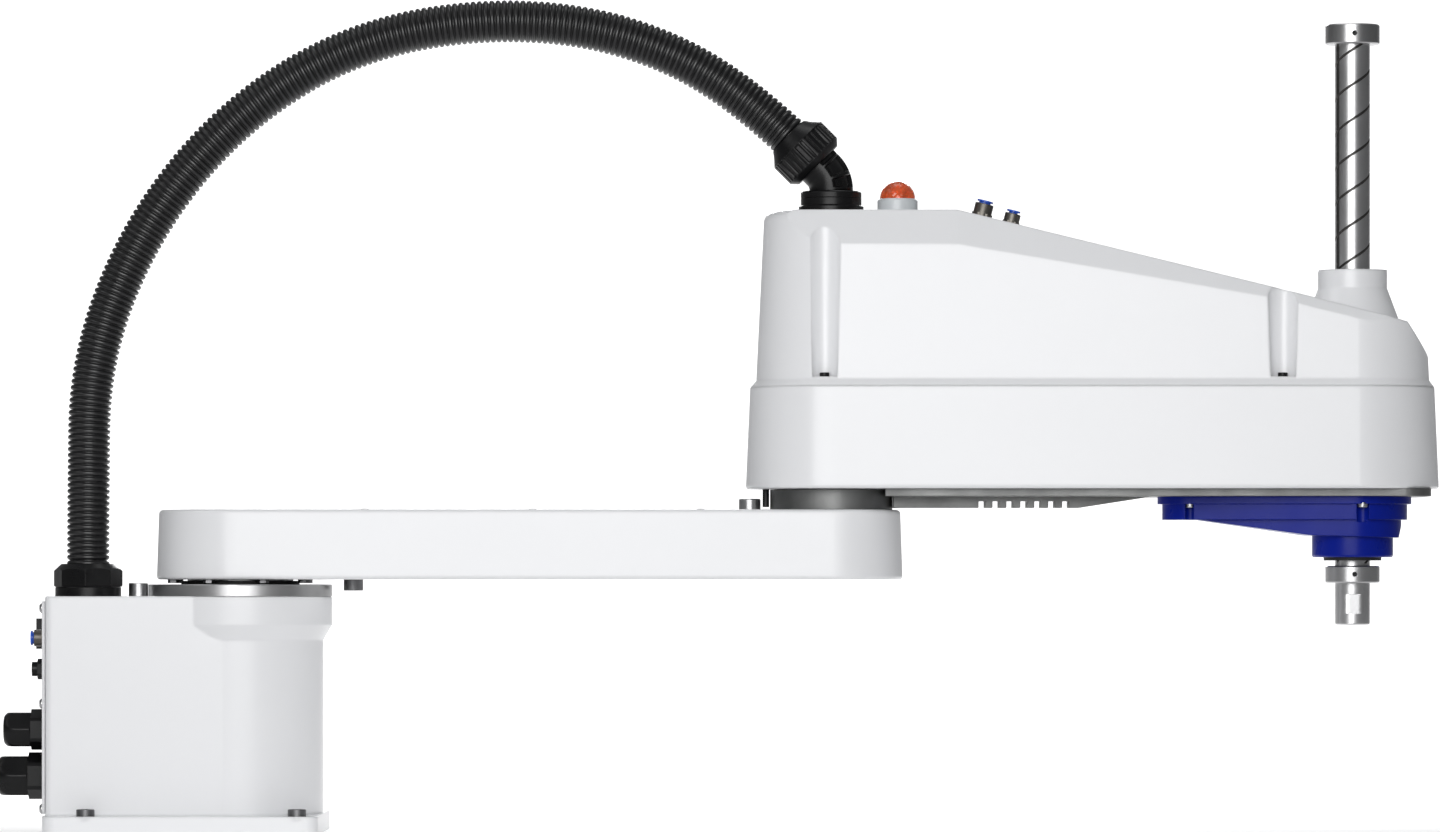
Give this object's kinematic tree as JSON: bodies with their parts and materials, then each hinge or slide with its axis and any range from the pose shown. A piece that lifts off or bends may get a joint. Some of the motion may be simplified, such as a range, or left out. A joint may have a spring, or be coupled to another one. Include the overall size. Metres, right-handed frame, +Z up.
{
  "type": "scara robot arm",
  "caption": "Four-axis SCARA arm: fixed base, two level swinging arms, a vertical spline shaft that slides and turns, and a corrugated cable hose.",
  "frame": {"origin": "centre of the base's four-bolt pattern, on the mounting face", "axes": "+Z up, +X along both arms when they are stretched out, +Y to the left of the arms"},
  "size_m": [1.0348, 0.172, 0.6147],
  "materials": {
    "white_paint": "satin white powder coat",
    "white_plastic": "satin moulded white plastic",
    "blue_plastic": "moulded blue plastic",
    "black_plastic": "matt black nylon",
    "black_rubber": "matt black seal",
    "bright_steel": "turned and zinc plated",
    "ground_steel": "ground and polished",
    "cast_grey": "machined cast aluminium",
    "dark_motor": "black anodised",
    "nickel": "nickel plated brass",
    "blue_button": "blue acetal",
    "orange_lens": "clear orange moulding",
    "lamp_white": "light grey moulding",
    "belt_rubber": "black toothed rubber"
  },
  "bodies": {
    "base": {"base_casting": "white_paint", "rear_panel": "white_paint", "rear_panel_screws": "bright_steel", "mounting_bolts": "bright_steel", "cable_gland_bodies": "black_plastic", "cable_gland_caps": "black_plastic", "signal_connector": "black_plastic", "base_air_fitting": "nickel", "blanking_plug": "black_plastic", "hose_base_ring": "black_plastic", "hose_base_nut": "black_plastic", "joint1_motor": "dark_motor", "joint1_reducer": "bright_steel", "joint1_seal": "black_rubber", "base_stop_bolt": "bright_steel", "cable_hose": "black_plastic"},
    "base_air_button": {"base_air_collet": "blue_button"},
    "arm_1": {"arm1_casting": "white_paint", "arm1_top_cover": "white_paint", "arm1_cover_screws": "bright_steel", "joint1_hub": "bright_steel", "joint1_hub_screws": "bright_steel", "arm1_stop_bolt": "bright_steel", "joint2_stop_pin": "bright_steel", "joint2_reducer": "cast_grey"},
    "arm_2": {"arm2_casting": "white_paint", "arm2_bottom_plate": "cast_grey", "arm2_cover": "white_plastic", "arm2_cover_screws": "black_plastic", "joint2_hub": "bright_steel", "arm2_index_post": "cast_grey", "joint2_motor": "dark_motor", "joint3_motor": "dark_motor", "joint4_motor": "dark_motor", "joint3_belt": "belt_rubber", "joint4_belt": "belt_rubber", "spindle_housing": "cast_grey", "joint3_brake": "dark_motor", "belt_cover": "blue_plastic", "belt_cover_screws": "bright_steel", "shaft_seal_ring": "black_rubber", "lamp_base": "lamp_white", "lamp_lens": "orange_lens", "large_air_fitting": "nickel", "small_air_fitting": "nickel", "elbow_base_ring": "black_plastic"},
    "large_air_button": {"large_air_collet": "blue_button"},
    "small_air_button": {"small_air_collet": "blue_button"},
    "hose_elbow": {"elbow_fitting": "black_plastic", "elbow_hose_nut": "black_plastic"},
    "spline": {"spline_nut": "ground_steel", "spline_nut_pulley": "bright_steel"},
    "ball_nut": {"ball_screw_nut": "ground_steel", "ball_nut_pulley": "bright_steel"},
    "motor_3_pulley": {"joint3_motor_pulley": "bright_steel"},
    "motor_4_pulley": {"joint4_motor_pulley": "bright_steel"},
    "quill": {"shaft": "ground_steel", "upper_stop_collar": "bright_steel", "lower_stop_collar": "bright_steel", "collar_set_screws": "bright_steel"}
  },
  "joints": [
    {"name": "joint_1", "type": "hinge", "parent": "base", "child": "arm_1", "pos_m": [0.03, 0, 0.2], "axis": [0, 0, 1], "range_deg": [-130, 130], "deforming": ["cable_hose"]},
    {"name": "joint_2", "type": "hinge", "parent": "arm_1", "child": "arm_2", "pos_m": [0.455, 0, 0.245], "axis": [0, 0, 1], "range_deg": [-150, 150]},
    {"name": "elbow_swivel", "type": "hinge", "parent": "arm_2", "child": "hose_elbow", "pos_m": [0.455, 0, 0.456], "axis": [0, 0, 1], "range_deg": [-151, 151]},
    {"name": "joint_4", "type": "hinge", "parent": "arm_2", "child": "spline", "pos_m": [0.83, 0, 0.24], "axis": [0, 0, 1], "range_deg": [-360, 360]},
    {"name": "joint_3", "type": "slide", "parent": "spline", "child": "quill", "axis": [0, 0, -1], "range_m": [0, 0.16]},
    {"name": "ball_nut_spin", "type": "hinge", "parent": "spline", "child": "ball_nut", "pos_m": [0.83, 0, 0.31], "axis": [0, 0, 1], "range_deg": [0, 1153]},
    {"name": "motor_3_pulley_spin", "type": "hinge", "parent": "arm_2", "child": "motor_3_pulley", "pos_m": [0.68, 0, 0.33], "axis": [0, 0, 1], "range_deg": [0, 2306]},
    {"name": "motor_4_pulley_spin", "type": "hinge", "parent": "arm_2", "child": "motor_4_pulley", "pos_m": [0.738, 0, 0.23], "axis": [0, 0, 1], "range_deg": [-721, 721]},
    {"name": "base_air_button_press", "type": "slide", "parent": "base", "child": "base_air_button", "axis": [1, 0, 0], "range_m": [0, 0.001], "stiffness_N_per_m": 1500, "springref_m": -0.0005},
    {"name": "large_air_button_press", "type": "slide", "parent": "arm_2", "child": "large_air_button", "axis": [-0.2404, 0, -0.9707], "range_m": [0, 0.001], "stiffness_N_per_m": 1500, "springref_m": -0.0005},
    {"name": "small_air_button_press", "type": "slide", "parent": "arm_2", "child": "small_air_button", "axis": [-0.2404, 0, -0.9707], "range_m": [0, 0.001], "stiffness_N_per_m": 1500, "springref_m": -0.0005}
  ],
  "couplings": [
    {"joint": "elbow_swivel", "follows": "joint_2", "ratio": -1},
    {"joint": "ball_nut_spin", "follows": "joint_3", "rad_per_m": 125.66},
    {"joint": "motor_3_pulley_spin", "follows": "joint_3", "rad_per_m": 251.33},
    {"joint": "motor_4_pulley_spin", "follows": "joint_4", "ratio": 2}
  ]
}
